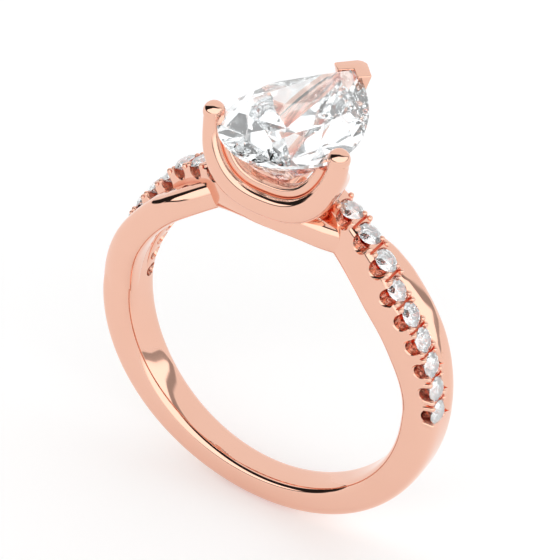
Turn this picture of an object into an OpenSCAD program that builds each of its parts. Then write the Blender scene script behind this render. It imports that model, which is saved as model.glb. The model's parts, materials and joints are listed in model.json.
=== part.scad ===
// Engagement ring: a pear-cut stone in a U-shaped cradle, on a shank whose
// shoulders are two twisted strands, one plain and one set with accent stones.
// The origin is the centre of the finger hole. Y runs along the finger, from
// the round end of the stone to its point, Z up through the stone, X along the
// right shoulder. All sizes are in millimetres.

/* [Finger] */
// Inner diameter, which sets the finger size
inner_d = 16.5; // [14:0.1:20]

/* [Shank] */
// Width of the plain shank at the bottom
shank_w_low = 1.9; // [1.6:0.05:2.6]
// Width of the shank where the strands leave it
shank_w_high = 2.9; // [2.4:0.05:3.6]
// Thickness of the shank at the bottom
shank_t_low = 1.85; // [1.4:0.05:2.4]
// Thickness of the shank where the strands leave it
shank_t_high = 2.0; // [1.6:0.05:2.5]

/* [Strands] */
// Metal beside an accent stone, where the strands are widest
strand_wall = 0.21; // [0.15:0.01:0.3]
// Metal beside an accent stone, at the crossing
strand_wall_cross = 0.06; // [0.04:0.01:0.1]
// Open gap between the strands, where they are furthest apart
strand_part = 0.14; // [0.06:0.02:0.3]
// Angle from the top of the ring to the crossing
cross_angle = 24.5; // [20:0.5:28]
// Thickness of the strands under the head
strand_t_top = 1.65; // [1.3:0.05:2.0]
// Thickness of the strands on the shoulder
strand_t_side = 2.1; // [1.8:0.05:2.6]
// Width of a strand under the head
strand_w_top = 1.6; // [1.4:0.05:1.7]
// Thickness left in the plain strand, which passes below at the crossing
strand_t_under = 1.0; // [0.7:0.05:1.2]
// Thickness of the set strand, which passes above at the crossing
strand_t_over = 1.43; // [1.2:0.05:1.6]

/* [Accent stones] */
// Stones on each shoulder
accent_count = 9; // [5:1:9]
// Diameter of an accent stone
accent_d = 1.3; // [1.0:0.05:1.4]
// Angle from the top of the ring to the first accent stone
accent_first = 20.3; // [18:0.1:24]
// Gap between two accent stones
accent_space = 0.14; // [0.1:0.01:0.3]
// Depth of the seat's edge below the strand's surface
accent_sink = 0.12; // [0.05:0.01:0.25]
// Diameter of the bead prongs
bead_d = 0.34; // [0.25:0.01:0.45]

/* [Centre stone] */
// Length of the pear, from its round end to its point
pear_l = 10.4; // [8:0.1:12.5]
// Width of the pear
pear_w = 6.8; // [5.6:0.1:8]
// Distance from the round end to the widest line, where the culet is
pear_round = 3.5; // [2.8:0.1:4.2]
// Place of the culet along the finger
pear_culet_y = -0.3; // [-1:0.1:1]
// Height of the culet above the strands
culet_gap = 0.5; // [0.3:0.05:1.5]
// Depth of the pavilion, below the girdle
pavilion_h = 2.85; // [2.2:0.05:3.6]
// Thickness of the girdle
girdle_h = 0.14; // [0.08:0.01:0.25]
// Height of the crown, above the girdle
crown_h = 0.95; // [0.6:0.05:1.3]
// Size of the table, as a share of the outline
table_share = 0.58; // [0.5:0.01:0.68]

/* [Head] */
// Diameter of the round claw tips
claw_d = 1.12; // [0.9:0.02:1.4]
// Place of the round claws along the finger
claw_y = -1.3; // [-2:0.1:-0.6]
// Thickness of the cradle bar in its arms
cradle_t_arm = 1.0; // [0.8:0.05:1.3]
// Thickness of the cradle bar at the bottom of its U
cradle_t_low = 1.25; // [1.0:0.05:1.6]
// Depth of the cradle bar along the finger
cradle_depth = 1.35; // [1.0:0.05:1.8]
// Diameter of the gallery rail inside the cradle
rail_d = 0.62; // [0.45:0.02:0.8]
// Width of the keel that carries the pointed end
keel_w = 1.25; // [0.9:0.05:1.6]
// Thickness of the keel
keel_t = 0.95; // [0.7:0.05:1.2]
// Length of each wing of the V claw
wing_l = 2.0; // [1.4:0.1:2.6]
// Wall of the V claw outside the stone
wing_wall = 0.45; // [0.3:0.05:0.7]
// How far the V claw laps over the crown
wing_lap = 0.45; // [0.3:0.05:0.7]

/* [Fits] */
// Clearance between each stone and its seat
seat_gap = 0.015; // [0.01:0.005:0.05]
// Gap that the solder fills between two metal pieces
solder_gap = 0.02; // [0.01:0.005:0.05]

/* [Hidden] */
$fn = 48;
FINE = 120;
SMALL = 24;
BEAD_SIDES = 16;
// Points in a section of the ring and of the cradle bar
RING_SIDES = 16;
BAR_SIDES = 12;
// Roundness of a section: 1 is an ellipse, and a lower value is squarer
SHANK_SOFT = 0.62;
STRAND_SOFT = 0.55;
BAR_SOFT = 0.7;
// Angles along the ring: metal after the last stone, half the level part under
// the head, a crossing's ramp, and the rise from the head to the shoulder
JOINT_MARGIN = 2.6;
HEAD_LEVEL = 4;
CROSS_RAMP = 6.5;
SIDE_RAMP = 24;
// Metal inside the finger hole that the hole is then cut out of
CORE = 0.35;
// A cone's tip, which can't be a bare point
CONE_TIP = 0.02;
// Accent stones: shares of the stone's diameter
ACCENT_GIRDLE = 0.03;
ACCENT_CROWN = 0.15;
ACCENT_TABLE = 0.57;
ACCENT_PAVILION = 0.43;
AZURE = 0.42;
SCOOP = 0.5;
BEAD_OUT = 0.43;
// Shape of the pear's flanks, and the claws' places against the stone
PEAR_POINT = 1.75;
PEAR_BELLY = 0.16;
CLAW_OUT = 0.22;
CLAW_RISE = 0.1;
// Shape of the cradle's U, its lean towards the round end, and its rail
U_SIDE = 0.72;
U_LOW = 0.95;
CRADLE_LEAN = 0.35;
RAIL_START = 14;
RAIL_DEPTH = 0.75;
// The keel's rise, lift above the strands and taper, and the V claw's wings
KEEL_RISE = 2.2;
KEEL_LIFT = 0.1;
KEEL_TAPER = 0.25;
WING_RUN = 0.78;
WING_DROP = 0.35;
WING_RISE = 0.5;
WING_T = 0.42;
WING_LAP_Z = 0.1;
inner_r = inner_d / 2;
core_r = inner_r - CORE;
strand_top_r = inner_r + strand_t_top;
strand_side_r = inner_r + strand_t_side;
shank_r = inner_r + shank_t_high;
strand_w = accent_d + 2 * strand_wall;
strand_w_cross = accent_d + 2 * strand_wall_cross;
strand_swing = (strand_w + strand_part) / 2;
accent_step = (accent_d + accent_space) / strand_side_r * 180 / PI;
joint_angle = accent_first + accent_step * (accent_count - 0.5) + JOINT_MARGIN;
under_r = inner_r + strand_t_under;
over_r = under_r + solder_gap + strand_t_over;
accent_pavilion = ACCENT_PAVILION * accent_d;
accent_crown = ACCENT_CROWN * accent_d;
bead_top_r = over_r - accent_sink + accent_crown + bead_d / 2;
bead_root = accent_d / 2;
cross_start = HEAD_LEVEL;
// Half of a crossing's level part fills the way from its ramp to its middle
cross_half = cross_angle - cross_start - CROSS_RAMP;

// Heights of the centre stone, and the middle of its outline
culet_z = strand_top_r + culet_gap;
girdle_z = culet_z + pavilion_h;
table_z = girdle_z + girdle_h + crown_h;
round_y = pear_culet_y - pear_round;
tip_y = round_y + pear_l;
claw_z = girdle_z + girdle_h + CLAW_RISE;
claw_x = pear_half(claw_y) + CLAW_OUT * claw_d;

// Half the stone's width at the place y along the finger
function pear_u(y) = (y - pear_culet_y) / (tip_y - pear_culet_y);
function pear_half(y) = y < pear_culet_y
    ? pear_w / 2 * sqrt(max(0, 1 - pow((y - pear_culet_y) / pear_round, 2)))
    : pear_w / 2 * (1 - pow(pear_u(y), PEAR_POINT)) * (1 + PEAR_BELLY * pear_u(y));

// The pear's outline: an even walk round the round end, then up each flank
OUTLINE_STEPS = 9;
function round_side() = [for (i = [0:OUTLINE_STEPS]) let (a = -90 + 90 * i / OUTLINE_STEPS)
    [pear_w / 2 * cos(a), pear_culet_y + pear_round * sin(a)]];
function flank() = [for (i = [1:OUTLINE_STEPS]) let (
        y = pear_culet_y + (tip_y - pear_culet_y) * sin(90 * i / OUTLINE_STEPS))
    [pear_half(y), y]];
function right_side() = concat(round_side(), flank());
function left_side() = [for (i = [len(right_side()) - 2:-1:1])
    [-right_side()[i][0], right_side()[i][1]]];
function pear() = concat(right_side(), left_side());

// The outline, shrunk to a share about the culet and grown by a margin
function pear_ring(share, margin, z) = [for (p = pear())
    let (d = [p[0], p[1] - pear_culet_y])
    [d[0] * share + margin * sign(d[0]), pear_culet_y + d[1] * share + margin * sign(d[1]), z]];

// A closed skin over rings that all have the same number of points
module skin(rings) {
    n = len(rings[0]);
    m = len(rings);
    points = [for (r = rings) each r];
    walls = [for (j = [0:m - 2]) for (i = [0:n - 1])
        [j * n + i, j * n + (i + 1) % n, (j + 1) * n + (i + 1) % n, (j + 1) * n + i]];
    first = [for (i = [n - 1:-1:0]) i];
    last = [for (i = [0:n - 1]) (m - 1) * n + i];
    polyhedron(points, concat(walls, [first, last]), convexity = 6);
}

// Soft square: a rounded section, x and y from -0.5 to 0.5
function soft(v, k) = sign(v) * pow(abs(v), k) / 2;
function section(k, n = RING_SIDES) = [for (i = [0:n - 1]) let (a = 360 * (i + 0.5) / n)
    [soft(cos(a), k), soft(sin(a), k)]];

// Easing from 0 to 1, and a blend that starts at a and ends at b
function ease(t) = let (u = min(1, max(0, t))) u * u * (3 - 2 * u);
function blend(from, to, t) = from + (to - from) * ease(t);

// A ring of section points at the angle a, from radius r0 to r1, y wide w
function arc_ring(a, r0, r1, y, w, k) = [for (p = section(k))
    let (r = (r0 + r1) / 2 + p[0] * (r1 - r0))
    [r * sin(a), y + p[1] * w, r * cos(a)]];

// The finger hole, as a true cylinder
module finger_hole() {
    rotate([90, 0, 0])
        cylinder(r = inner_r, h = inner_d, center = true, $fn = FINE);
}

// ---- Shank ----
SHANK_STEPS = 48;
function shank_part(a) = abs(180 - a) / (180 - joint_angle);
module shank() {
    color("#f0bfa6")
        difference() {
            skin([for (i = [0:SHANK_STEPS])
                let (a = joint_angle + (360 - 2 * joint_angle) * i / SHANK_STEPS,
                     s = shank_part(a))
                arc_ring(a, core_r, inner_r + blend(shank_t_low, shank_t_high, s), 0,
                         blend(shank_w_low, shank_w_high, s), SHANK_SOFT)]);
            finger_hole();
        }
}

// ---- Strands ----
// One strand runs from the left joint to the right one. Left of the top it is
// the set strand, which passes above at its crossing, and right of the top it
// is the plain one, which passes below. The other strand is its half turn.
STRAND_STEPS = 88;
joint_end = joint_angle - atan(solder_gap / inner_r);
function swing(a) = let (b = abs(a)) b < 2 * cross_angle
    ? -strand_swing * cos(90 * b / cross_angle)
    : blend(strand_swing, (shank_w_high + solder_gap) / 4,
            joint_part(a));
function crossing(a) = 1 - ease((abs(abs(a) - cross_angle) - cross_half) / CROSS_RAMP);
function side_part(a) = ease((abs(a) - cross_angle) / SIDE_RAMP);
function joint_part(a) = (abs(a) - 2 * cross_angle) / (joint_end - 2 * cross_angle);
function strand_room(a) = 2 * abs(swing(a)) - solder_gap;
function strand_width(a) = max(strand_w_cross * crossing(a),
    min(strand_room(a), abs(a) > cross_angle ? strand_w : strand_w_top));
function outer_plain(a) = let (
        r = strand_top_r + (strand_side_r - strand_top_r) * side_part(a))
    blend(r, shank_r, joint_part(a)) - (r - under_r) * crossing(a);
function outer_set(a) = let (
        r = strand_top_r + (strand_side_r - strand_top_r) * side_part(a))
    blend(r, shank_r, joint_part(a)) + (over_r - r) * crossing(a);
function inner_set(a) = core_r + (under_r + solder_gap - core_r) * crossing(a);

module strand_skin() {
    skin([for (i = [0:STRAND_STEPS])
        let (a = -joint_end + 2 * joint_end * i / STRAND_STEPS,
             is_set = a < 0,
             r1 = is_set ? outer_set(a) : outer_plain(a),
             r0 = is_set ? inner_set(a) : core_r)
        arc_ring(a, r0, r1, swing(a), strand_width(a), STRAND_SOFT)]);
}

// Places of the accent stones on the left, counted from the head
function accent_angle(i) = -(accent_first + accent_step * i);
function accent_r(i) = outer_set(accent_angle(i)) - accent_sink;
module at_accent(i) {
    translate([0, swing(accent_angle(i)), 0])
        rotate([0, accent_angle(i), 0])
            translate([0, 0, accent_r(i)])
                children();
}

// A seat: a cup for the girdle, a cone for the pavilion, a hole through to the
// finger side and a round scoop through both side walls
module accent_seat() {
    cylinder(d = accent_d + 2 * seat_gap, h = accent_d, $fn = SMALL);
    translate([0, 0, -accent_pavilion - seat_gap])
        cylinder(d1 = CONE_TIP, d2 = accent_d + 2 * seat_gap, h = accent_pavilion + seat_gap,
                 $fn = SMALL);
    translate([0, 0, core_r - over_r])
        cylinder(d = AZURE * accent_d, h = over_r - core_r, $fn = SMALL);
    rotate([90, 0, 0])
        cylinder(d = SCOOP * accent_d, h = 2 * strand_w, center = true, $fn = SMALL);
}

// Four bead prongs round each stone, one pair shared by two neighbours
module bead_pair(i) {
    a = accent_angle(i - 0.5);
    d = BEAD_OUT * accent_d;
    r = outer_set(a) - accent_sink;
    for (side = [-1, 1])
        translate([0, swing(a) + side * d, 0])
            rotate([0, a, 0])
                translate([0, 0, r - bead_root]) {
                    cylinder(d = bead_d, h = bead_root + accent_crown, $fn = BEAD_SIDES);
                    translate([0, 0, bead_root + accent_crown])
                        sphere(d = bead_d, $fn = BEAD_SIDES);
                }
}

module strand_body() {
    difference() {
        union() {
            strand_skin();
            for (i = [0:accent_count])
                bead_pair(i);
        }
        finger_hole();
        for (i = [0:accent_count - 1])
            at_accent(i)
                accent_seat();
    }
}
module strand_front() {
    color("#f0bfa6")
        strand_body();
}
module strand_back() {
    color("#f0bfa6")
        rotate([0, 0, 180])
            strand_body();
}

// ---- Accent stones ----
module brilliant(d) {
    girdle = ACCENT_GIRDLE * d;
    cylinder(d = d, h = girdle);
    translate([0, 0, girdle])
        cylinder(d1 = d, d2 = ACCENT_TABLE * d, h = accent_crown);
    translate([0, 0, -accent_pavilion])
        cylinder(d1 = CONE_TIP, d2 = d, h = accent_pavilion);
}
module accent_diamond(i, turn) {
    color("#eef2f6")
        rotate([0, 0, turn])
            at_accent(i)
                brilliant(accent_d);
}

// ---- Centre stone ----
module pear_stone(margin) {
    skin([pear_ring(table_share, margin, table_z + margin),
          pear_ring(1, margin, girdle_z + girdle_h),
          pear_ring(1, margin, girdle_z),
          pear_ring(CONE_TIP, 0, culet_z - margin)]);
}
module center_diamond() {
    color("#f4f7fa")
        pear_stone(0);
}

// ---- Cradle ----
// The U of the cradle, seen along the finger: half an outline, from a claw
// tip to the bottom, as a quarter of a soft rectangle
CRADLE_STEPS = 36;
cradle_low_z = strand_top_r + solder_gap;
function u_x(t) = -sign(cos(t)) * claw_x * pow(abs(cos(t)), U_SIDE);
function u_z(t) = claw_z - (claw_z - cradle_low_z) * pow(sin(t), U_LOW);
function cradle_y(t) = blend(claw_y, claw_y - CRADLE_LEAN, sin(t));
function cradle_t(t) = blend(cradle_t_arm, cradle_t_low, sin(t));
// Direction across the bar, square to its run
function u_normal(t) = let (
        e = 1,
        dx = u_x(min(180, t + e)) - u_x(max(0, t - e)),
        dz = u_z(min(180, t + e)) - u_z(max(0, t - e)),
        l = norm([dx, dz]))
    [-dz / l, dx / l];
function u_ring(t, inset, thick, depth) = [for (p = section(BAR_SOFT, BAR_SIDES))
    let (n = u_normal(t), s = inset + p[0] * thick)
    [u_x(t) + n[0] * s, cradle_y(t) + p[1] * depth, u_z(t) + n[1] * s]];

module stone_seat() {
    pear_stone(seat_gap);
}
// The saddle rests on the strands. It is deeper on the left, where the front
// strand passes above and carries its first beads
module saddle() {
    rotate([90, 0, 0])
        cylinder(r = strand_top_r + solder_gap, h = 2 * strand_swing + strand_w_top,
                 center = true, $fn = FINE);
    intersection() {
        rotate([90, 0, 0])
            cylinder(r = bead_top_r + solder_gap, h = 2 * strand_swing + strand_w_top,
                     center = true, $fn = FINE);
        translate([-inner_r - strand_top_r * sin(cross_start), -inner_r, 0])
            cube([inner_r, inner_d, inner_d]);
    }
}
module cradle() {
    color("#f2c3ab")
        difference() {
            union() {
                skin([for (i = [0:CRADLE_STEPS]) let (t = 180 * i / CRADLE_STEPS)
                    u_ring(t, 0, cradle_t(t), cradle_depth)]);
                for (side = [-1, 1])
                    translate([side * claw_x, claw_y, claw_z])
                        sphere(d = claw_d);
            }
            stone_seat();
            saddle();
        }
}

// The gallery rail lies inside the U, against the cradle bar
module gallery_rail() {
    color("#f2c3ab")
        difference() {
            skin([for (i = [0:CRADLE_STEPS])
                let (t = RAIL_START + (180 - 2 * RAIL_START) * i / CRADLE_STEPS)
                u_ring(t, cradle_t(t) / 2 + rail_d / 2 + solder_gap, rail_d,
                       RAIL_DEPTH * cradle_depth)]);
            stone_seat();
            saddle();
        }
}

// ---- V claw ----
// A keel runs from the cradle under the stone and up to its point, and ends in
// two wings that lap over the edges
KEEL_STEPS = 24;
keel_y0 = claw_y - CRADLE_LEAN + cradle_depth / 2 + solder_gap;
keel_y1 = tip_y;
keel_z0 = strand_top_r + solder_gap + KEEL_LIFT;
keel_z1 = girdle_z;
function keel_y(t) = keel_y0 + (keel_y1 - keel_y0) * t;
function keel_z(t) = keel_z0 + (keel_z1 - keel_z0) * pow(max(0, t), KEEL_RISE);
function keel_ring(t) = [for (p = section(BAR_SOFT, BAR_SIDES))
    let (w = keel_w * (1 - KEEL_TAPER * t),
         e = 0.5 / KEEL_STEPS,
         n = [keel_z(t - e) - keel_z(t + e), keel_y(t + e) - keel_y(t - e)],
         l = norm(n), s = p[1] * keel_t)
    [p[0] * w, keel_y(t) + n[0] / l * s, keel_z(t) + n[1] / l * s]];

module wing(side) {
    edge_y = tip_y - WING_RUN * wing_l;
    hull()
        for (y = [tip_y, edge_y])
            translate([side * max(0, pear_half(y)), y, girdle_z - WING_DROP])
                cylinder(r = wing_wall, h = WING_DROP + girdle_h + WING_RISE);
    hull() {
        translate([0, tip_y, girdle_z + girdle_h + WING_LAP_Z])
            cylinder(r = wing_wall, h = WING_T);
        translate([side * (pear_half(edge_y) - wing_lap / 2), edge_y,
                   girdle_z + girdle_h + WING_LAP_Z])
            cylinder(r = wing_wall, h = WING_T);
    }
}
module v_claw() {
    color("#f2c3ab")
        difference() {
            union() {
                skin([for (i = [0:KEEL_STEPS]) keel_ring(i / KEEL_STEPS)]);
                wing(-1);
                wing(1);
            }
            stone_seat();
            saddle();
        }
}

shank();
strand_front();
strand_back();
cradle();
gallery_rail();
v_claw();
center_diamond();
for (i = [1:accent_count])
    accent_diamond(i - 1, 0);
for (i = [1:accent_count])
    accent_diamond(i - 1, 180);
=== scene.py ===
# %% [markdown]
# # A pear diamond engagement ring
# This lesson builds the looks of a rose gold ring: a pear-cut diamond in a
# claw cradle, on a band whose shoulders twist a plain strand round a strand
# set with small diamonds. The frame comes from the maker's solid model, so
# every piece here lands where the solid model says.

# %% Load the frame
import json
import math

import bmesh
import bpy
from mathutils import Matrix, Vector


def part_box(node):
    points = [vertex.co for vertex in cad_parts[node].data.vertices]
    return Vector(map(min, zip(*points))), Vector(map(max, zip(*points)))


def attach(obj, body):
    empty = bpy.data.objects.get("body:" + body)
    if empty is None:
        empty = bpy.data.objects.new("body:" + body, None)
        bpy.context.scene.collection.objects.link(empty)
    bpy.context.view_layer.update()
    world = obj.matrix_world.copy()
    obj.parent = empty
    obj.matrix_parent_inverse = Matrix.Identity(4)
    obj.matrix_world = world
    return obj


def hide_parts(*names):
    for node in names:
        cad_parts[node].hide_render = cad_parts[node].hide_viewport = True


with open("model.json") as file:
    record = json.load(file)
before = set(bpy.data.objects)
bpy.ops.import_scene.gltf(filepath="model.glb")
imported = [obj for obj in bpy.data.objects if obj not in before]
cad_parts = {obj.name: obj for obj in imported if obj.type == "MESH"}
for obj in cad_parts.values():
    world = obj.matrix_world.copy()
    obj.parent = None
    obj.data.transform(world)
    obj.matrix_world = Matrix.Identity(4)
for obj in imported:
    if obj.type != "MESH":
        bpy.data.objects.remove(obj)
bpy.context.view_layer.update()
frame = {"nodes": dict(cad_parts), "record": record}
MM = 0.001


# %% [markdown]
# ## Driving sizes
# A jeweller works from the finger size, so the finger hole's radius is read
# from the frame first. The stones' places come from the frame as well: each
# stone's box gives the middle and the width that its seat needs. All lengths
# in this script are in millimetres until a piece is finished.

# %% Read the sizes
def box_mm(node):
    """The lowest and highest corners of a solid node, in millimetres."""
    low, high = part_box(node)
    return low / MM, high / MM


BORE_R = frame["record"]["mounts"][0]["dims"]["r_mm"]
SHANK_LOW, SHANK_HIGH = box_mm("shank")
PEAR_LOW, PEAR_HIGH = box_mm("center_diamond")
ACCENT_COUNT = sum("accent_diamond_left" in name for name in frame["nodes"])
LAST_LOW, LAST_HIGH = box_mm(f"accent_diamond_right_{ACCENT_COUNT}")
ACCENT_D = LAST_HIGH.y - LAST_LOW.y
print("finger hole", 2 * BORE_R, "accent stones", ACCENT_COUNT, "x", round(ACCENT_D, 3))


# %% [markdown]
# ## Small helpers
# Every swept piece of the ring starts as the same clay: a round bar, one unit
# long and one unit across, sliced evenly. A bend function then takes each
# point of the bar, given by how far along it lies and where it lies in the
# slice, to its place on the ring. That keeps one clean grid of faces, which
# polished metal needs, because its reflections show every wrinkle.

# %% Easing, bars and bends
def ease(t):
    """A soft step from 0 to 1."""
    t = min(1.0, max(0.0, t))
    return t * t * (3 - 2 * t)


def blend(start, end, t):
    """From start to end, softly, as t goes from 0 to 1."""
    return start + (end - start) * ease(t)


def unit_bar(slices, sides):
    """A round bar along Z, from 0 to 1, one unit across, cut into even slices."""
    bm = bmesh.new()
    bmesh.ops.create_cone(bm, cap_ends=True, segments=sides, radius1=0.5, radius2=0.5,
                          depth=1, matrix=Matrix.Translation((0, 0, 0.5)))
    long_edges = [e for e in bm.edges if abs(e.verts[0].co.z - e.verts[1].co.z) > 0.5]
    bmesh.ops.subdivide_edges(bm, edges=long_edges, cuts=slices - 1, use_grid_fill=True)
    return bm


def bend(bm, place):
    """Moves each point of a unit bar to place(along, out, across)."""
    for v in bm.verts:
        v.co = place(v.co.z, v.co.x, v.co.y)
    return bm


def soften(value, squareness):
    """Takes a circle's -0.5 to 0.5 towards a square's, for squareness under 1."""
    return math.copysign(0.5 * (2 * abs(value)) ** squareness, value)


def on_band(angle, radius, y):
    """A point on the ring: angle in degrees from the top towards +X."""
    a = math.radians(angle)
    return Vector((radius * math.sin(a), y, radius * math.cos(a)))


# %% [markdown]
# ## Finishing a piece
# A piece is finished once, in one helper: its faces are turned outwards, its
# millimetres become metres, it gets its material, and it is tied to the frame.
# Faces are shaded smooth except across edges sharper than a given angle, as
# a polisher rounds the broad surfaces and leaves the cut edges crisp.

# %% Turn a shape into a piece
CREASE = 38


def to_object(bm, name):
    """A mesh object from a bmesh that is still in millimetres."""
    bmesh.ops.recalc_face_normals(bm, faces=bm.faces[:])
    mesh = bpy.data.meshes.new(name)
    bm.to_mesh(mesh)
    bm.free()
    piece = bpy.data.objects.new(name, mesh)
    bpy.context.scene.collection.objects.link(piece)
    return piece


def finish_piece(piece, material, nodes, crease=CREASE):
    """Shades a piece, brings it to metres and ties it to the frame."""
    mesh = piece.data
    mesh.transform(Matrix.Scale(MM, 4))
    mesh.materials.clear()
    mesh.materials.append(material)
    if crease:
        mesh.shade_smooth()
        mesh.set_sharp_from_angle(angle=math.radians(crease))
    else:
        mesh.shade_flat()
    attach(piece, "root")
    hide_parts(*nodes)
    print(f"{piece.name}: {len(mesh.polygons)} faces")
    return piece


def carve(piece, tool, operation="DIFFERENCE"):
    """Cuts a tool out of a piece, or joins it on, and removes the tool."""
    cut = piece.modifiers.new("carve", "BOOLEAN")
    cut.operation = operation
    cut.solver = "EXACT"
    cut.object = tool
    graph = bpy.context.evaluated_depsgraph_get()
    carved = bpy.data.meshes.new_from_object(piece.evaluated_get(graph))
    piece.modifiers.clear()
    old, piece.data = piece.data, carved
    bpy.data.meshes.remove(old)
    bpy.data.objects.remove(tool)
    return piece


# %% [markdown]
# ## Rose gold
# Rose gold is gold with copper, polished until it mirrors the studio. A metal
# shader of full metallic needs only its colour and how smooth it is. A single
# value looks like plastic foil, so a coarse noise varies the tone a little and
# a fine one varies the roughness, as hand polishing does. Gold reflects gold
# in its hollows and deepens to red there. A painted shade, a deep red mixed
# into the colour where the surface closes in, helps that along.

# %% Noise over a piece
def object_noise(tree, scale, detail):
    """A noise on the piece's own coordinates."""
    place = tree.nodes.new("ShaderNodeTexCoord")
    noise = tree.nodes.new("ShaderNodeTexNoise")
    noise.inputs["Scale"].default_value = scale
    noise.inputs["Detail"].default_value = detail
    tree.links.new(place.outputs["Object"], noise.inputs["Vector"])
    return noise.outputs["Fac"]


def two_tones(tree, noise, ends, tones):
    """Spreads a noise over two colours, between its two end values."""
    ramp = tree.nodes.new("ShaderNodeValToRGB")
    for stop, end, tone in zip(ramp.color_ramp.elements, ends, tones):
        stop.position = end
        stop.color = (*tone, 1)
    tree.links.new(noise, ramp.inputs["Fac"])
    return ramp.outputs["Color"]


def set_range(node, side, low, high):
    """Sets one side, From or To, of a Map Range node."""
    node.inputs[f"{side} Min"].default_value = low
    node.inputs[f"{side} Max"].default_value = high


print("noise helpers ready")


# %% [markdown]
# ## Mixing the alloy
# One shader makes the metal. Its colour is the two-tone noise, mixed with a
# painted shade, deep red, where the surface round a point closes in. Its
# roughness is the fine noise, kept between two low values.

# %% Make the rose gold
GOLD = (0.87, 0.525, 0.405)
GOLD_SHADE = (0.985, 0.97, 0.96)
# Painted shade: the deep red mixed into the metal's colour in its hollows and creases, and the
# occlusion reach and levels that place it.
PAINTED_HOLLOW_SHADE = (0.74, 0.18, 0.09)
PAINTED_SHADE_REACH = 0.45
PAINTED_SHADE_FULL = 0.12
PAINTED_SHADE_NONE = 0.7
TONE_SCALE = 260
WEAR_SCALE = 900


def rose_gold(name, rough_low, rough_high):
    """Polished rose gold with hand-polished variation and a painted red shade in its hollows."""
    material = bpy.data.materials.new(name)
    material.use_nodes = True
    tree = material.node_tree
    shader = tree.nodes["Principled BSDF"]
    shader.inputs["Metallic"].default_value = 1.0
    shaded = tuple(tone * shade for tone, shade in zip(GOLD, GOLD_SHADE))
    tone = two_tones(tree, object_noise(tree, TONE_SCALE, 3), (0.3, 0.7), (shaded, GOLD))
    # Painted shade: an occlusion reading mixes a deep red into the colour where the surface closes
    # in, in place of the shade and gold-on-gold reflection there.
    corner = tree.nodes.new("ShaderNodeAmbientOcclusion")
    corner.samples = 6
    corner.inputs["Distance"].default_value = PAINTED_SHADE_REACH * MM
    open_part = tree.nodes.new("ShaderNodeMapRange")
    set_range(open_part, "From", PAINTED_SHADE_FULL, PAINTED_SHADE_NONE)
    tree.links.new(corner.outputs["AO"], open_part.inputs["Value"])
    hollow_shade_mix = tree.nodes.new("ShaderNodeMix")
    hollow_shade_mix.data_type = "RGBA"
    hollow_shade_mix.inputs["A"].default_value = (*PAINTED_HOLLOW_SHADE, 1)
    tree.links.new(open_part.outputs["Result"], hollow_shade_mix.inputs["Factor"])
    tree.links.new(tone, hollow_shade_mix.inputs["B"])
    tree.links.new(hollow_shade_mix.outputs["Result"], shader.inputs["Base Color"])
    rough = tree.nodes.new("ShaderNodeMapRange")
    set_range(rough, "To", rough_low, rough_high)
    tree.links.new(object_noise(tree, WEAR_SCALE, 6), rough.inputs["Value"])
    tree.links.new(rough.outputs["Result"], shader.inputs["Roughness"])
    print("made", name)
    return material


ROSE_GOLD = rose_gold("rose_gold_polished", 0.03, 0.09)


# %% [markdown]
# ## Diamond
# A diamond bends light far more than glass does, so its refraction index is
# 2.42. It shows the studio through its facets, broken up by total reflection,
# so the facets must be true flat faces. The light of a real stone, thrown back
# many times from below, is more than this shader gathers. A small share of
# metal makes up for it, more of it in the small stones, called melee.

# %% Make the diamond
DIAMOND_IOR = 2.42
TINT_SCALE = 900
TINTS = ((0.95, 0.985, 1.0), (0.975, 0.995, 1.0))
PEAR_METAL = 0.1
MELEE_METAL = 0.3


def diamond(name, metal):
    """Clear diamond with the faintest body tint. The metal share stands for
    the light that comes back from below the stone."""
    material = bpy.data.materials.new(name)
    material.use_nodes = True
    tree = material.node_tree
    shader = tree.nodes["Principled BSDF"]
    shader.inputs["Transmission Weight"].default_value = 1.0
    shader.inputs["IOR"].default_value = DIAMOND_IOR
    shader.inputs["Roughness"].default_value = 0.0
    shader.inputs["Metallic"].default_value = metal
    tint = two_tones(tree, object_noise(tree, TINT_SCALE, 2), (0.35, 0.65), TINTS)
    tree.links.new(tint, shader.inputs["Base Color"])
    print("made", name)
    return material


DIAMOND = diamond("diamond_clear", PEAR_METAL)
MELEE = diamond("diamond_melee", MELEE_METAL)


# %% [markdown]
# ## The shank
# The shank is the plain lower part of the band. Its inside is a true round
# hole for the finger, its sides are rounded over, and it widens towards the
# shoulders. It could be a spun section, but a spun ring can't widen, so a bar
# is bent round the finger and its width and thickness grow on the way.

# %% Sizes of the band
STRAND_T_TOP = 1.65
STRAND_T_SIDE = 2.1
SHANK_T_LOW = -SHANK_LOW.z - BORE_R
SHANK_T_HIGH = 2.0
SHANK_W_LOW = 2.0
SHANK_W_HIGH = SHANK_HIGH.y - SHANK_LOW.y
STRAND_W = 1.72
STRAND_W_TOP = 1.6
STRAND_PART = 0.14
STRAND_SWING = (STRAND_W + STRAND_PART) / 2
CROSS_ANGLE = 24.5
CROSS_END = 2 * CROSS_ANGLE
ACCENT_FIRST = 20.3
ACCENT_GAP = 0.14
JOINT_MARGIN = 2.6
ACCENT_STEP = (ACCENT_D + ACCENT_GAP) / (BORE_R + STRAND_T_SIDE) * 180 / math.pi
JOINT_ANGLE = ACCENT_FIRST + ACCENT_STEP * (ACCENT_COUNT - 0.5) + JOINT_MARGIN
print("strands leave the shank at", round(JOINT_ANGLE, 1), "degrees")


# %% [markdown]
# ## Bending the shank
# The band's outside is a soft square and its finger side a flatter one. Both
# ends run in under the strands and shrink a little, so that the gap between
# two strands fills up slowly and no step shows where they meet the shank.

# %% Shape the shank
SHANK_SQUARE = 0.62
INNER_SQUARE = 0.46
TUCK = 22
TUCK_SIZE = 0.86


def shank_square(out):
    """The finger side is flatter than the outside."""
    return INNER_SQUARE if out < 0 else SHANK_SQUARE


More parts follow.
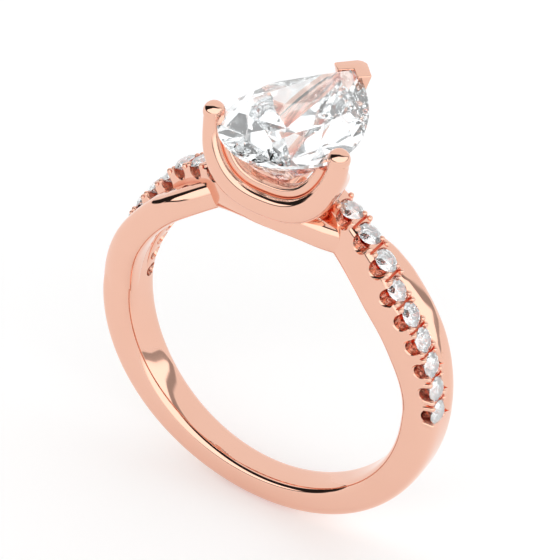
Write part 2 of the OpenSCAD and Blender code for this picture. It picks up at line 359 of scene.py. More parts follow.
def shank_place(along, out, across):
    """The shank's surface. Its two ends tuck in under the strands."""
    start = JOINT_ANGLE - TUCK
    angle = start + (360 - 2 * start) * along
    up = abs(180 - angle) / (180 - JOINT_ANGLE)
    tuck = blend(1, TUCK_SIZE, (up - 1) * (180 - JOINT_ANGLE) / TUCK)
    thick = blend(SHANK_T_LOW, SHANK_T_HIGH, up)
    wide = blend(SHANK_W_LOW, SHANK_W_HIGH, up)
    out, across = soften(out, shank_square(out)) * tuck, soften(across, SHANK_SQUARE) * tuck
    return on_band(angle, BORE_R + (out + 0.5) * thick, across * wide)


shank = to_object(bend(unit_bar(200, 64), shank_place), "shank_band")
print("shank, mm wide at the bottom and the joint:", SHANK_W_LOW, round(SHANK_W_HIGH, 2))


# %% [markdown]
# ## The strands
# Two strands leave the shank on each side, cross once on the shoulder and part
# again under the head. On its left half the front strand is set with stones
# and passes above, and on its right half it is plain and passes below. The
# back strand is the same piece turned half round, so one function makes both.

# %% Where a strand runs
JOINT_SWING = SHANK_W_HIGH / 4
BULGE = 0.35
BULGE_LEAD = 7
BULGE_RISE = 14
BULGE_HOLD = 8
BULGE_FALL = 16


def swing(angle):
    """Sideways place of the strand's middle."""
    a = abs(angle)
    if a < CROSS_END:
        return -STRAND_SWING * math.cos(math.radians(90 * a / CROSS_ANGLE))
    return blend(STRAND_SWING, JOINT_SWING, (a - CROSS_END) / (JOINT_ANGLE - CROSS_END))


def plain_swing(angle):
    """The plain half swings out a little further just past the crossing."""
    past = abs(angle) - CROSS_ANGLE
    grow, fade = ease((past + BULGE_LEAD) / BULGE_RISE), ease((past - BULGE_HOLD) / BULGE_FALL)
    return swing(angle) + BULGE * grow * (1 - fade)


print("strand's middle, y:", round(swing(0), 2), "under the head,",
      round(swing(CROSS_ANGLE), 2), "at the crossing")


# %% [markdown]
# ## A strand's thickness
# Where the strands cross, the set one is thick and the plain one thin, so that
# one passes above the other. Away from there both come back to an even
# thickness, and they grow with the shoulder until they meet the shank.

# %% How thick and wide a strand is
CROSS_HALF = 14
CROSS_RAMP = 6.5
UNDER_T = 1.56
OVER_T = 2.45
SHOULDER_RUN = 24
RISE_START = 46
RISE_RUN = 40


def crossing(angle):
    """1 where the strands cross, 0 away from it."""
    return 1 - ease((abs(abs(angle) - CROSS_ANGLE) - CROSS_HALF) / CROSS_RAMP)


def thickness(angle, is_set):
    """The strand's thickness, more where it passes above and less below."""
    side = ease((abs(angle) - CROSS_ANGLE) / SHOULDER_RUN)
    joint = (abs(angle) - CROSS_END) / (JOINT_ANGLE - CROSS_END)
    full = blend(blend(STRAND_T_TOP, STRAND_T_SIDE, side), SHANK_T_HIGH, joint)
    if not is_set:
        full = blend(STRAND_T_TOP, SHANK_T_HIGH, (abs(angle) - RISE_START) / RISE_RUN)
    level = OVER_T if is_set else UNDER_T
    return full + (level - full) * crossing(angle)


def width(angle):
    """The strand's width, which tapers into half the shank at the joint."""
    if abs(angle) > CROSS_END:
        return min(2 * abs(swing(angle)), STRAND_W)
    return blend(STRAND_W_TOP, STRAND_W, abs(angle) / CROSS_ANGLE)


print("set half at the crossing, mm thick:", round(thickness(-CROSS_ANGLE, True), 2))


# %% [markdown]
# ## A strand's surface
# The set half has a flat top for its stones and the plain half a round one.
# Towards the joint the slice turns into half of the shank's own slice, so the
# two strands together become the shank, and the last degrees sink into it.

# %% A strand's surface
RUN_IN = 10
RUN_IN_SIZE = 0.8
MORPH = 30
UNDER_LIFT = 0.03
SET_TOP_SQUARE = 0.4
PLAIN_TOP_SQUARE = 0.85
FINGER_SQUARE = 0.5
TOP_TURN = 8
SET_SIDE_SQUARE = 0.55


def strand_place(along, out, across):
    """The strand's surface. Past each joint it runs into the shank."""
    angle = (JOINT_ANGLE + RUN_IN) * (2 * along - 1)
    is_set = angle < 0
    shrink = blend(1, RUN_IN_SIZE, (abs(angle) - JOINT_ANGLE) / RUN_IN)
    low = 0.0 if is_set else UNDER_LIFT * crossing(angle)
    thick = thickness(angle, is_set) - low
    top = blend(PLAIN_TOP_SQUARE, SET_TOP_SQUARE, -angle / TOP_TURN)
    out = soften(out, top if out > 0 else FINGER_SQUARE)
    across = soften(across, SET_SIDE_SQUARE if is_set else SHANK_SQUARE)
    side = 1 if across * swing(angle) > 0 else -1
    edge = min(1.0, abs(across) * side + 0.5)
    half = max(0.0, 1 - edge ** (2 / SHANK_SQUARE)) ** (shank_square(out) / 2)
    joined = ease((abs(angle) - JOINT_ANGLE + MORPH) / MORPH)
    out = out * (1 + (half - 1) * joined) * shrink
    middle = swing(angle) if is_set else plain_swing(angle)
    return on_band(angle, BORE_R + low + (out + 0.5) * thick,
                   middle + across * shrink * width(angle))


print("strand runs into the shank for", RUN_IN, "degrees")


# %% [markdown]
# ## Seats, notches and azures
# A setter drills a cone for each small stone, opens a rounded notch in both
# side walls so light gets in, and reams a hole through to the finger side.
# One spun profile makes the cone and the hole together. The notch is a round
# bar across the strand, flared where it leaves the walls, which gives the
# bright bevel round its mouth.

# %% Places and turned shapes
ACCENT_SINK = 0.12


def accent_angle(i):
    """Angle of a stone on the set half. Half numbers are the posts between."""
    return -(ACCENT_FIRST + ACCENT_STEP * i)


def accent_frame(i):
    """Matrix at a stone's girdle: its Z points out of the band."""
    angle = accent_angle(i)
    radius = BORE_R + thickness(angle, True) - ACCENT_SINK
    return Matrix.Translation(on_band(angle, radius, swing(angle))) @ Matrix.Rotation(
        math.radians(angle), 4, "Y")


def spun(bm, profile, matrix, sides=40):
    """Adds a closed turned shape: profile is (radius, height) from low to high.
    Vertices that are placed already carry a tag."""
    made = [bm.verts.new((r, 0, h)) for r, h in profile]
    edges = [bm.edges.new(pair) for pair in zip(made, made[1:])]
    bmesh.ops.spin(bm, geom=made + edges, axis=(0, 0, 1), cent=(0, 0, 0),
                   angle=2 * math.pi, steps=sides, use_merge=True)
    bmesh.ops.remove_doubles(bm, verts=[v for v in bm.verts if not v.tag], dist=1e-5)
    fresh = [v for v in bm.verts if not v.tag]
    bmesh.ops.transform(bm, matrix=matrix, verts=fresh)
    for v in fresh:
        v.tag = True


print("stones from", round(accent_angle(0), 1), "to", round(accent_angle(ACCENT_COUNT - 1), 1))


# %% [markdown]
# ## The cutters
# Each cutter is one object that holds the shapes for all the stones, so a
# strand is cut once for its seats and once for its notches. Every shape runs
# a little past the metal, because a cut that ends exactly on a surface leaves
# slivers.

# %% Seat and notch cutters
SEAT_GAP = 0.012
SEAT_OPEN = 0.6
PAVILION = 0.43 * ACCENT_D
AZURE = [(0.42, -0.3), (0.42, 0.02), (0.32, 0.25), (0.16, 0.7)]
DRILL_R = 0.14
DRILL_TOP = 0.1
NOTCH_R = 0.43
NOTCH_FLARE = 0.06
NOTCH_OPEN = 0.2
NOTCH_PAST = 0.5
NOTCH_SINK = 0.06
NOTCH_STRETCH = 1.15


def seat_tool():
    """All seats and azures of one strand, as one cutting tool."""
    bm = bmesh.new()
    r = ACCENT_D / 2 + SEAT_GAP
    for i in range(ACCENT_COUNT):
        depth = thickness(accent_angle(i), True) - ACCENT_SINK
        azure = [(radius, height - depth) for radius, height in AZURE]
        profile = [(0, azure[0][1])] + azure + [
            (DRILL_R, -PAVILION - DRILL_TOP), (r, 0), (r, SEAT_OPEN), (0, SEAT_OPEN)]
        spun(bm, profile, accent_frame(i))
    return to_object(bm, "seat_tool")


def notch_tool():
    """All side notches of one strand, as one cutting tool."""
    bm = bmesh.new()
    flare = NOTCH_R + NOTCH_FLARE
    for i in range(ACCENT_COUNT):
        half = width(accent_angle(i)) / 2
        end = half + NOTCH_PAST
        profile = [(0, -end), (flare + NOTCH_OPEN, -end), (flare, -half),
                   (NOTCH_R, -half + NOTCH_FLARE), (NOTCH_R, half - NOTCH_FLARE),
                   (flare, half), (flare + NOTCH_OPEN, end), (0, end)]
        turn = accent_frame(i) @ Matrix.Translation((0, 0, -NOTCH_SINK)) @ Matrix.Rotation(
            math.radians(90), 4, "X") @ Matrix.Diagonal((1, NOTCH_STRETCH, 1, 1))
        spun(bm, profile, turn)
    return to_object(bm, "notch_tool")


print("seat, mm across:", round(ACCENT_D + 2 * SEAT_GAP, 3))


# %% [markdown]
# ## Bead prongs
# The metal left between two stones stands up as a post on each side. The
# setter splits it with a small groove and pushes a bead of each half over the
# nearer stone. Each bead prong here is a short round bar with a round end,
# leaning over its stone.

# %% Prongs and grooves
PRONG_R = 0.15
PRONG_ALONG = 0.165
PRONG_ACROSS = 0.57
PRONG_ROOT = 0.55
PRONG_TOP = -0.07
PRONG_LEAN = 4
DOME_STEPS = 6
SMALL_SIDES = 16
GROOVE_R = 0.07
GROOVE_HALF = 1.2
GROOVE_STRETCH = 2.4


def prong_profile():
    """A round-ended pin, from its root up to its dome."""
    dome = [(PRONG_R * math.cos(a), PRONG_TOP + PRONG_R * math.sin(a))
            for a in [math.pi / 2 * k / DOME_STEPS for k in range(DOME_STEPS)]]
    return [(0, -PRONG_ROOT), (PRONG_R, -PRONG_ROOT)] + dome + [(0, PRONG_TOP + PRONG_R)]


def prong_set():
    """All the bead prongs of one strand."""
    bm = bmesh.new()
    for post in range(ACCENT_COUNT + 1):
        for along in (-1, 1):
            if (post, along) in ((0, 1), (ACCENT_COUNT, -1)):
                continue
            for side in (-1, 1):
                lean = Matrix.Rotation(math.radians(-PRONG_LEAN * along), 4, "Y") @ Matrix.Rotation(
                    math.radians(PRONG_LEAN * side), 4, "X")
                root = Matrix.Translation((along * PRONG_ALONG, side * PRONG_ACROSS, ACCENT_SINK))
                spun(bm, prong_profile(), accent_frame(post - 0.5) @ root @ lean, SMALL_SIDES)
    return to_object(bm, "prong_set")


def groove_tool():
    """The small grooves that split the posts."""
    bm = bmesh.new()
    profile = [(0, -GROOVE_HALF), (GROOVE_R, -GROOVE_HALF),
               (GROOVE_R, GROOVE_HALF), (0, GROOVE_HALF)]
    for post in range(1, ACCENT_COUNT):
        turn = accent_frame(post - 0.5) @ Matrix.Translation((0, 0, ACCENT_SINK)) @ Matrix.Rotation(
            math.radians(90), 4, "X") @ Matrix.Diagonal((1, GROOVE_STRETCH, 1, 1))
        spun(bm, profile, turn, SMALL_SIDES)
    return to_object(bm, "groove_tool")


print("bead prongs on a strand:", 4 * ACCENT_COUNT)


# %% [markdown]
# ## Making the strands
# The cuts come in a setter's order: seats, notches, grooves, and the beads
# last, joined on to the metal. The shank gets the seats and notches too,
# because its ends lie under the last stones.

# %% Make the strands
def make_strand(name, node, turn):
    """One whole strand, cut and set, and turned about Z by turn degrees."""
    strand = to_object(bend(unit_bar(280, 64), strand_place), name)
    carve(strand, seat_tool())
    carve(strand, notch_tool())
    carve(strand, groove_tool())
    carve(strand, prong_set(), "UNION")
    strand.data.transform(Matrix.Rotation(math.radians(turn), 4, "Z"))
    return finish_piece(strand, ROSE_GOLD, [node])


def seat_in_shank(turn):
    """Carries one strand's last seats and notches on into the shank's end."""
    for tool in (seat_tool(), notch_tool()):
        tool.data.transform(Matrix.Rotation(math.radians(turn), 4, "Z"))
        carve(shank, tool)


make_strand("strand_front_twist", "strand_front", 0)
make_strand("strand_back_twist", "strand_back", 180)
seat_in_shank(0)
seat_in_shank(180)
finish_piece(shank, ROSE_GOLD, ["shank"])


# %% [markdown]
# ## Cutting a diamond
# A cutter grinds one flat facet after another on a rough block. This does the
# same: it starts from the outline as a block and takes away all that lies
# outside each facet's plane. Each facet leans on the rim, so only the rim's
# outline and a few angles are needed, for a round stone and for a pear.

# %% Facet by facet
CROWN_ANGLE = 34
MAINS = 8
UPPER_LEAN = 5.5
STAR_TILT = 21
LOWER_DROP = 0.065
EXTRA_DROP = 0.2
EXTRA_LEAN = 13
POINT_THETA = math.pi / 2
MAIN_STEP = 2 * math.pi / MAINS


def facet(bm, point, normal):
    """Grinds away what lies outside a plane and closes the cut with one face."""
    cut = bmesh.ops.bisect_plane(bm, geom=bm.verts[:] + bm.edges[:] + bm.faces[:], dist=1e-5,
                                 plane_co=point, plane_no=normal, clear_outer=True)
    rim = [e for e in cut["geom_cut"] if isinstance(e, bmesh.types.BMEdge)]
    if len(rim) > 2:
        bmesh.ops.contextual_create(bm, geom=rim)


def cut_stone(outline, sizes, block_sides, extra=0):
    """A brilliant over outline(theta). sizes: girdle z, girdle height, crown
    height, pavilion depth and culet y. extra adds that many small facets."""
    girdle, belt, crown, pavilion, culet_y = sizes
    step = math.radians(1)

    def rim(theta):
        """The outline's point and its outward direction."""
        point = Vector(outline(theta))
        run = Vector(outline(theta + step)) - Vector(outline(theta - step))
        return point, Vector((run.y, -run.x)).normalized()

    bm = bmesh.new()
    loop = [bm.verts.new((*outline(2 * math.pi * i / block_sides), girdle - pavilion))
            for i in range(block_sides)]
    base = bm.faces.new(loop)
    block = bmesh.ops.extrude_face_region(bm, geom=[base])
    tops = [v for v in block["geom"] if isinstance(v, bmesh.types.BMVert)]
    bmesh.ops.translate(bm, verts=tops, vec=(0, 0, pavilion + belt + crown))
    bmesh.ops.recalc_face_normals(bm, faces=bm.faces[:])

    def crown_facet(turns, angle):
        """A facet above the rim. Gives the point where it meets the table."""
        point, out = rim(POINT_THETA + MAIN_STEP * turns)
        lean = math.radians(angle)
        normal = Vector((out.x * math.sin(lean), out.y * math.sin(lean), math.cos(lean)))
        facet(bm, Vector((*point, girdle + belt)), normal)
        inset = crown / math.tan(lean)
        return Vector((point.x - out.x * inset, point.y - out.y * inset, girdle + belt + crown))

    def pavilion_facet(turns, drop):
        """A facet below the rim. drop aims it that far under the culet."""
        point, out = rim(POINT_THETA + MAIN_STEP * turns)
        edge = Vector((*point, girdle))
        along = Vector((-out.y, out.x, 0))
        to_culet = Vector((0, culet_y, girdle - pavilion - drop)) - edge
        normal = along.cross(to_culet)
        facet(bm, edge, normal if normal.z < 0 else -normal)

    mains = [crown_facet(k, CROWN_ANGLE) for k in range(MAINS)]
    for k in range(2 * MAINS):
        crown_facet(k / 2 + 0.25, CROWN_ANGLE + UPPER_LEAN)
    for here, there in zip(mains, mains[1:] + mains[:1]):
        run = (there - here).normalized()
        out = Vector((run.y, -run.x, 0))
        tilt = math.radians(STAR_TILT)
        facet(bm, here, out * math.sin(tilt) + Vector((0, 0, math.cos(tilt))))
    for k in range(MAINS):
        pavilion_facet(k, 0.0)
    for k in range(2 * MAINS):
        pavilion_facet(k / 2 + 0.25, pavilion * LOWER_DROP)
    for k in range(extra):
        pavilion_facet(MAINS * (k + 0.5) / extra, pavilion * EXTRA_DROP)
        crown_facet(MAINS * (k + 0.5) / extra, CROWN_ANGLE + EXTRA_LEAN)
    bmesh.ops.remove_doubles(bm, verts=bm.verts[:], dist=1e-4)
    return bm


print("facets on a round brilliant, without its girdle:", 1 + 7 * MAINS)


# %% [markdown]
# ## The pear diamond
# The pear's round end is half an ellipse, and its flanks close in on the point
# in a soft curve. The same outline is the cutter's first block.

# %% Cut the pear
PEAR_W = PEAR_HIGH.x - PEAR_LOW.x
PEAR_ROUND = 3.5
CULET_Y = PEAR_LOW.y + PEAR_ROUND
CULET_Z = PEAR_LOW.z
GIRDLE_H = 0.14
CROWN_H = 0.95
GIRDLE_Z = PEAR_HIGH.z - CROWN_H - GIRDLE_H
FLANK_POWER = 1.75
FLANK_FILL = 0.16
HEAD_SOFT = 1.22
PEAR_BLOCK_SIDES = 96
PEAR_EXTRA = 32
SEAT_SCALE = 1.003


def pear_half(y):
    """Half the pear's width at y."""
    if y < CULET_Y:
        return PEAR_W / 2 * math.sqrt(max(0, 1 - ((y - CULET_Y) / PEAR_ROUND) ** 2))
    u = min(1.0, (y - CULET_Y) / (PEAR_HIGH.y - CULET_Y))
    return PEAR_W / 2 * (1 - u ** FLANK_POWER) * (1 + FLANK_FILL * u)


def pear_outline(theta):
    """The pear's outline: theta is 0 on the right, and pi / 2 at the point."""
    rise = math.sin(theta)
    if rise < 0:
        x = PEAR_W / 2 * soften(math.cos(theta) / 2, HEAD_SOFT) * 2
        return (x, CULET_Y + PEAR_ROUND * rise)
    y = CULET_Y + (PEAR_HIGH.y - CULET_Y) * rise
    return (math.copysign(pear_half(y), math.cos(theta)), y)


def pear_stone():
    """The pear diamond's facets."""
    depth = GIRDLE_Z - CULET_Z
    return cut_stone(pear_outline, (GIRDLE_Z, GIRDLE_H, CROWN_H, depth, CULET_Y),
                     PEAR_BLOCK_SIDES, PEAR_EXTRA)


def seat_for_pear(piece):
    """Cuts the stone's own shape, a hair larger, out of a metal piece."""
    stone = pear_stone()
    middle = Vector((0, (PEAR_LOW.y + PEAR_HIGH.y) / 2, GIRDLE_Z))
    bmesh.ops.scale(stone, vec=(SEAT_SCALE,) * 3, space=Matrix.Translation(-middle),
                    verts=stone.verts[:])
    return carve(piece, to_object(stone, "pear_seat"))


pear = to_object(pear_stone(), "pear_diamond")
finish_piece(pear, DIAMOND, ["center_diamond"], crease=None)


# %% [markdown]
# ## The accent diamonds
# The small stones are round brilliants, all of one size, as matched stones are
# bought by the dozen. Each is cut in its own seat, turned a little further
# than the one before, because a setter doesn't line up the facets.

# %% Cut and set the accents
ACCENT_BELT = 0.03 * ACCENT_D
ACCENT_CROWN = 0.15 * ACCENT_D
ACCENT_BLOCK_SIDES = 32
ACCENT_TURN = 37


def round_outline(theta):
    """A round stone's outline."""
    return (ACCENT_D / 2 * math.cos(theta), ACCENT_D / 2 * math.sin(theta))


def set_accents(side, turn):
    """All accent stones of one shoulder, each its own piece."""
    for i in range(ACCENT_COUNT):
        stone = cut_stone(round_outline, (0, ACCENT_BELT, ACCENT_CROWN, PAVILION, 0),
                          ACCENT_BLOCK_SIDES)
        spin = Matrix.Rotation(math.radians(ACCENT_TURN * i), 4, "Z")
        stone.transform(Matrix.Rotation(math.radians(turn), 4, "Z") @ accent_frame(i) @ spin)
        name = f"accent_{side}_{i + 1}"
        finish_piece(to_object(stone, name), MELEE,
                     [f"accent_diamond_{side}_{i + 1}"], crease=None)


set_accents("left", 0)
set_accents("right", 180)


# %% [markdown]
# ## The cradle
# The head is one bar bent into a U, whose two ends rise beside the stone and
# finish as round claws. A rail lies inside it, set back a little, so the two
# meet in a ledge that catches the light. Both are bars bent along one path.

# %% The path of the cradle
CLAW_D = 1.12
CLAW_Y = -1.3
CLAW_X = pear_half(CLAW_Y) + 0.22 * CLAW_D
CLAW_Z = GIRDLE_Z + GIRDLE_H + 0.1
CRADLE_LOW_Z = BORE_R + STRAND_T_TOP + 0.02
U_WIDE_POWER = 0.8
U_DEEP_POWER = 0.95
U_LEAN = 0.35
U_STEP = 0.004


def u_path(along):
    """The middle of the cradle's bar, along 0 to 1 from left to right claw."""
    t = math.pi * along
    x = -math.copysign(CLAW_X * abs(math.cos(t)) ** U_WIDE_POWER, math.cos(t))
    z = CLAW_Z - (CLAW_Z - CRADLE_LOW_Z) * max(0.0, math.sin(t)) ** U_DEEP_POWER
    return Vector((x, blend(CLAW_Y, CLAW_Y - U_LEAN, math.sin(t)), z))


def u_across(along):
    """The direction across the bar, towards the stone."""
    run = u_path(min(1, along + U_STEP)) - u_path(max(0, along - U_STEP))
    return Vector((-run.z, 0, run.x)).normalized()


print("claws at x", round(CLAW_X, 2), "z", round(CLAW_Z, 2))


# %% [markdown]
# ## Bending the cradle
# The bar is round at the claws and squarer at the bottom. Each arm deepens
# to a blade towards the back for part of its rise, and a ball closes each end.
# The stone's own shape, a hair larger, is then cut out of the metal.

# %% Bend the cradle
CRADLE_T_CLAW, CRADLE_T_LOW = 1.02, 1.4
CRADLE_DEEP_CLAW, CRADLE_DEEP_LOW = 1.1, 1.35
CRADLE_SQUARE = 0.72
BLADE_START, BLADE_IN = 0.05, 0.1
BLADE_HOLD, BLADE_OUT = 0.24, 0.12
BLADE_DEEP = 1.1
BLADE_FLARE = 0.12
BALL_RISE = 0.04


def cradle_place(along, out, across):
    """The cradle's surface: round at the claws and deeper at the bottom."""
    low = math.sin(math.pi * along)
    end = min(along, 1 - along)
    blade = ease((end - BLADE_START) / BLADE_IN) * (1 - ease((end - BLADE_HOLD) / BLADE_OUT))
    thick = blend(CRADLE_T_CLAW, CRADLE_T_LOW, low)
    deep = blend(CRADLE_DEEP_CLAW, CRADLE_DEEP_LOW, low * 1.6)
    square = blend(1.0, CRADLE_SQUARE, low * 2)
    out, across = soften(out, square), soften(across, square)
    back = max(0.0, across) * 2 * blade * BLADE_DEEP
    return (u_path(along) + u_across(along) * (out * thick + back * BLADE_FLARE)
            + Vector((0, across * deep + back, 0)))


cradle = to_object(bend(unit_bar(160, 48), cradle_place), "cradle_claws")
for side in (-1, 1):
    ball = bmesh.new()
    bmesh.ops.create_uvsphere(
        ball, u_segments=40, v_segments=24, radius=CLAW_D / 2,
        matrix=Matrix.Translation((side * CLAW_X, CLAW_Y, CLAW_Z + BALL_RISE)))
    carve(cradle, to_object(ball, "claw_ball"), "UNION")
seat_for_pear(cradle)
finish_piece(cradle, ROSE_GOLD, ["cradle"])


# %% [markdown]
# ## Bending the rail
# The rail follows the same path inside the cradle, and stops short of the
# claws at both ends.

# %% Bend the rail
RAIL_END = 0.06
RAIL_GAP = 0.2
RAIL_T = 0.62
RAIL_DEEP = 0.8
RAIL_BACK = 0.1


def rail_place(along, out, across):
    """The rail's surface, inside the cradle and a little behind its face."""
    along = RAIL_END + (1 - 2 * RAIL_END) * along
    low = math.sin(math.pi * along)
    inset = blend(CRADLE_T_CLAW, CRADLE_T_LOW, low) / 2 + RAIL_GAP
    out, across = soften(out, CRADLE_SQUARE), soften(across, CRADLE_SQUARE)
    return (u_path(along) + u_across(along) * (inset + out * RAIL_T)
            + Vector((0, RAIL_BACK + across * RAIL_DEEP, 0)))


rail = to_object(bend(unit_bar(140, 40), rail_place), "gallery_rail_bar")
finish_piece(rail, ROSE_GOLD, ["gallery_rail"])


# %% [markdown]
# ## The V claw and its keel
# The pear's point is its weak spot, so a V-shaped claw laps over both edges.
# It stands on a keel that runs under the stone from the cradle. The V is a
# flat chevron, pushed up and bevelled, and the keel is one more bent bar.

# %% Bend the keel
KEEL_START = Vector((0, CLAW_Y - 0.1, BORE_R + STRAND_T_TOP + 0.1))
KEEL_END = Vector((0, PEAR_HIGH.y + 0.02, GIRDLE_Z + 0.2))
KEEL_RISE = 2.2
KEEL_SQUARE = 0.75
KEEL_W_START, KEEL_W_END = 1.25, 0.95
KEEL_T_START, KEEL_T_END = 0.95, 0.85


def keel_path(t):
    """The middle of the keel."""
    return Vector((0, KEEL_START.y + (KEEL_END.y - KEEL_START.y) * t,
                   KEEL_START.z + (KEEL_END.z - KEEL_START.z) * max(0, t) ** KEEL_RISE))


def keel_place(along, out, across):
    """The keel's surface, flat under the stone and rising to its point."""
    run = (keel_path(along + 0.01) - keel_path(along - 0.01)).normalized()
    up = Vector((0, -run.z, run.y))
    wide, thick = blend(KEEL_W_START, KEEL_W_END, along), blend(KEEL_T_START, KEEL_T_END, along)
    out, across = soften(out, KEEL_SQUARE), soften(across, KEEL_SQUARE)
    return keel_path(along) + up * (out * thick) + Vector((across * wide, 0, 0))


v_claw = to_object(bend(unit_bar(60, 40), keel_place), "v_claw_keel")
print("keel, mm long:", round((KEEL_END - KEEL_START).length, 2))


# %% [markdown]
# ## The chevron
# The V starts as a flat outline. It is pushed up into a cap, drawn in at its
# foot, and bevelled, because a polished claw has no sharp edge. Then it is
# joined to the keel and the stone's shape is cut out of both.

# %% The V claw
V_LAP = 0.34
V_WALL = 0.42
V_LENGTH = 1.25
V_TIP_BLUNT = 0.68
V_TIP_HALF = 0.3
V_TIP_BACK = 0.08
V_EDGE_BACK = 1.5
V_BELOW = 0.45
V_HEIGHT = 0.95
V_FOOT = 0.72
V_BEVEL = 0.11


def chevron():
    """The V's flat shape, lapping in over the stone and out past its edge."""
    tip = Vector((0, PEAR_HIGH.y))
    edge = Vector((pear_half(PEAR_HIGH.y - V_EDGE_BACK), PEAR_HIGH.y - V_EDGE_BACK))
    run = (edge - tip).normalized()
    out = Vector((-run.y, run.x))
    apex_out = tip.y + V_WALL / out.y * V_TIP_BLUNT
    apex_in = tip.y - V_LAP / out.y
    end = tip + run * V_LENGTH
    half = [Vector((0, apex_out)), Vector((V_TIP_HALF, apex_out - V_TIP_BACK)),
            end + out * V_WALL, end - out * V_LAP, Vector((0, apex_in))]
    return half + [Vector((-p.x, p.y)) for p in half[3:0:-1]]


cap = bmesh.new()
base = cap.faces.new([cap.verts.new((p.x, p.y, GIRDLE_Z - V_BELOW)) for p in chevron()])
raised = bmesh.ops.extrude_face_region(cap, geom=[base])
bmesh.ops.translate(cap, verts=[v for v in raised["geom"] if isinstance(v, bmesh.types.BMVert)],
                    vec=(0, 0, GIRDLE_H + V_HEIGHT))
for v in base.verts:
    v.co.x *= V_FOOT
bmesh.ops.recalc_face_normals(cap, faces=cap.faces[:])
bmesh.ops.bevel(cap, geom=cap.edges[:], offset=V_BEVEL, segments=4, profile=0.5,
                affect="EDGES", material=-1)
carve(v_claw, to_object(cap, "v_cap"), "UNION")
seat_for_pear(v_claw)
finish_piece(v_claw, ROSE_GOLD, ["v_claw"])


# %% [markdown]
# ## The camera
# The camera stands in front and to the right, about ten centimetres off, and
# looks down on the ring. From so near, its clip distance has to be smaller
# than usual. Its place and aim are in millimetres, and its roll in degrees.

# %% Camera
CAMERA_AT = Vector((37.66, -66.93, 60.11))
CAMERA_AIM = Vector((-0.906, 1.917, 2.703))
CAMERA_ROLL = 4.785
CAMERA_LENS = 119.9
CAMERA_SENSOR = 36
CAMERA_CLIP = 1
camera = bpy.data.objects.new("camera", bpy.data.cameras.new("camera"))
camera.data.lens = CAMERA_LENS
camera.data.sensor_width = CAMERA_SENSOR
camera.data.clip_start = CAMERA_CLIP * MM
look = (CAMERA_AIM - CAMERA_AT).to_track_quat("-Z", "Y").to_matrix().to_4x4()
camera.matrix_world = Matrix.Translation(CAMERA_AT * MM) @ look @ Matrix.Rotation(
    math.radians(CAMERA_ROLL), 4, "Z")
bpy.context.scene.collection.objects.link(camera)
bpy.context.scene.camera = camera
print("camera lens, mm:", CAMERA_LENS)


# %% [markdown]
# ## The floor
# The ring lies on a sheet of white paper. Paper scatters light and has no
# shine, so its specular level is zero. A little light of its own keeps it
# as bright as the white round it, without a lamp that would show as a spot
# in the gold.

# %% Floor
FLOOR_Z = SHANK_LOW.z - 0.02
FLOOR_R = 900
PAPER_TONE = 0.78
PAPER_ROUGH = 0.9
PAPER_GLOW = 0.3
floor = bmesh.new()
bmesh.ops.create_circle(floor, cap_ends=True, segments=96, radius=FLOOR_R,
                        matrix=Matrix.Translation((0, 0, FLOOR_Z)))
floor = to_object(floor, "floor")
floor.data.transform(Matrix.Scale(MM, 4))
paper = bpy.data.materials.new("white_paper")
paper.use_nodes = True
sheet = paper.node_tree.nodes["Principled BSDF"]
sheet.inputs["Base Color"].default_value = (PAPER_TONE, PAPER_TONE, PAPER_TONE, 1)
sheet.inputs["Roughness"].default_value = PAPER_ROUGH
sheet.inputs["Specular IOR Level"].default_value = 0.0
sheet.inputs["Emission Color"].default_value = (1, 1, 1, 1)
sheet.inputs["Emission Strength"].default_value = PAPER_GLOW
floor.data.materials.append(paper)
print("floor at z, mm:", round(FLOOR_Z, 2))


# %% [markdown]
# ## Painting the sky
# Jewellery is lit by what it mirrors, so the room is painted on the sky as a
# sum of soft steps. These helpers add one maths node each, so that the
# painting below reads like plain arithmetic.

# %% Sky arithmetic
world = bpy.data.worlds.new("studio")
bpy.context.scene.world = world
world.use_nodes = True
sky, wire = world.node_tree.nodes, world.node_tree.links


def maths(operation, *values):
    """A maths node fed by sockets or numbers; gives its output socket."""
    node = sky.new("ShaderNodeMath")
    node.operation = operation
    for i, value in enumerate(values):
        if isinstance(value, (int, float)):
            node.inputs[i].default_value = value
        else:
            wire.new(value, node.inputs[i])
    return node.outputs[0]


def plus(first, *rest):
    """The sum of its values."""
    for value in rest:
        first = maths("ADD", first, value)
    return first


def times(first, *rest):
    """The product of its values."""
    for value in rest:
        first = maths("MULTIPLY", first, value)
    return first


def less(value, taken):
    """The first value less the second."""
    return maths("SUBTRACT", value, taken)


def step(value, low, high):
    """0 below low, 1 above high, soft between."""
    node = sky.new("ShaderNodeMapRange")
    node.interpolation_type = "SMOOTHSTEP"
    wire.new(value, node.inputs["Value"])
    set_range(node, "From", low, high)
    return node.outputs["Result"]


def under(value, low, high):
    """1 below low, 0 above high, soft between."""
    return less(1, step(value, low, high))


print("sky helpers ready")


# %% [markdown]
# ## Directions in the sky
# The sky is told by direction alone, so it is endlessly far away. Three
# readings are enough: the turn round the ring in degrees, with 0 in front and
# plus to the right, the lift above the floor in degrees, and how far the
# direction leans towards a point high at the back. The last one tilts the
# dark gap, which would lie level if it followed the lift.

# %% Directions in the sky
FRONT = math.radians(29.4)
BACK_RISE = math.radians(41)
place = sky.new("ShaderNodeTexCoord")
parts = sky.new("ShaderNodeSeparateXYZ")
wire.new(place.outputs["Generated"], parts.inputs["Vector"])
x, y, z = parts.outputs
to_front = plus(times(x, math.sin(FRONT)), times(y, -math.cos(FRONT)))
to_right = plus(times(x, math.cos(FRONT)), times(y, math.sin(FRONT)))
to_back = plus(times(to_front, -math.cos(BACK_RISE)), times(z, math.sin(BACK_RISE)))
turn = times(maths("ARCTAN2", to_right, to_front), 180 / math.pi)
lift = times(maths("ARCSINE", z), 180 / math.pi)
print("sky front at", round(math.degrees(FRONT), 1), "degrees")


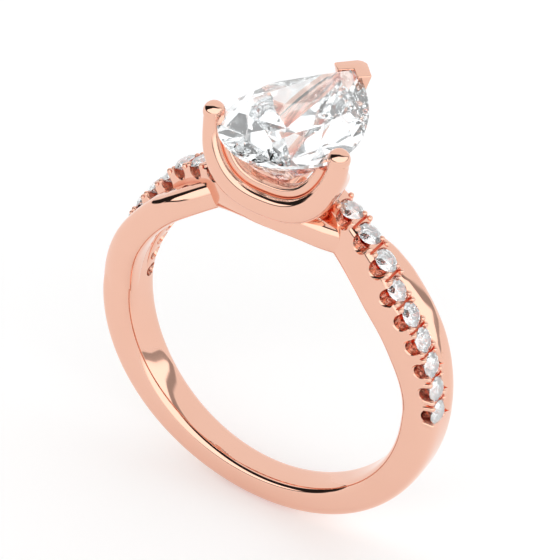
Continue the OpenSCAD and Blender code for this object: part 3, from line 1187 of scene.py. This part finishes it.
# %% [markdown]
# ## The studio
# A broad light fills the back, a brighter panel stands in front, and a dark
# gap runs between the two, with a narrow dark edge at the left and a thin dark
# line low down. The gaps draw the black streaks that tell an eye the metal is
# polished. Towards the right the dark parts are only grey.

# %% The studio
GAP_LOW, GAP_LOW_LEFT, GAP_LOW_RIGHT = 0.02, 0.16, 0.15
GAP_HIGH, GAP_HIGH_RIGHT = 0.57, 0.10
GAP_SOFT = 0.04
PANEL_LEFT, PANEL_RIGHT = (-78, -74), (112, 120)
EDGE_LEFT = (-90, -87)
PANEL_GLOW = 0.6
DARKNESS, GREYING = 0.98, 0.4
low_edge = plus(times(step(turn, -70, -10), GAP_LOW_LEFT),
                plus(GAP_LOW, times(step(turn, 55, 100), GAP_LOW_RIGHT)))
high_edge = less(GAP_HIGH, times(step(turn, 10, 60), GAP_HIGH_RIGHT))
past_low = step(less(to_back, low_edge), 0, GAP_SOFT)
not_back = under(less(to_back, high_edge), -GAP_SOFT, 0)
in_gap = times(not_back, past_low)
at_front = times(step(turn, *PANEL_LEFT), under(turn, *PANEL_RIGHT), less(1, past_low))
at_left = times(step(turn, *EDGE_LEFT), under(turn, *PANEL_LEFT), not_back)
line_sides = plus(step(turn, 60, 80), under(turn, -40, -20))
low_line = times(step(lift, 0.5, 1.5), under(lift, 6, 8), at_front, line_sides)
gaps = maths("MINIMUM", plus(in_gap, at_left, low_line), 1)
dark = times(gaps, step(lift, 0, 1))
depth = less(DARKNESS, times(step(turn, 40, 90), GREYING))
glow = times(at_front, step(lift, 0, 12), PANEL_GLOW)
level = times(plus(1.0, glow), less(1, times(dark, depth)))
print("studio nodes:", len(sky))


# %% [markdown]
# ## Three skies in one
# The metal mirrors the studio as painted. Rays that have passed through a
# stone see a coarse pattern of light and dark instead, because a cut stone
# gathers small pieces of a whole room. What the camera sees directly is
# plain white, so that the ring stands on white from every side.

# %% Three skies in one
SHARD_SCALE = 3.4
SHARD_ENDS = (0.42, 0.47)
SHARD_DARK = 0.16
SHARD_LIGHT = 1.35
shards = sky.new("ShaderNodeTexNoise")
shards.inputs["Scale"].default_value = SHARD_SCALE
shards.inputs["Detail"].default_value = 1.0
wire.new(place.outputs["Generated"], shards.inputs["Vector"])
sparkle = plus(SHARD_DARK, times(step(shards.outputs["Fac"], *SHARD_ENDS), SHARD_LIGHT))
path = sky.new("ShaderNodeLightPath")
through = times(path.outputs["Is Transmission Ray"], less(sparkle, level))
plain = times(path.outputs["Is Camera Ray"], less(1, level))
background = sky["Background"]
background.inputs["Color"].default_value = (1, 1, 1, 1)
wire.new(plus(level, through, plain), background.inputs["Strength"])
print("sky nodes:", len(sky))


# %% [markdown]
# ## View settings
# Polished metal in small hollows needs many bounces before its colour deepens
# to red, and the plain view transform keeps the white floor white.

# %% Set the view
GLOSSY_BOUNCES = 12
STONE_BOUNCES = 20
scene = bpy.context.scene
scene.view_settings.view_transform = "Standard"
scene.cycles.max_bounces = STONE_BOUNCES
scene.cycles.glossy_bounces = GLOSSY_BOUNCES
scene.cycles.transmission_bounces = STONE_BOUNCES
scene.cycles.caustics_reflective = True
print("view transform:", scene.view_settings.view_transform)
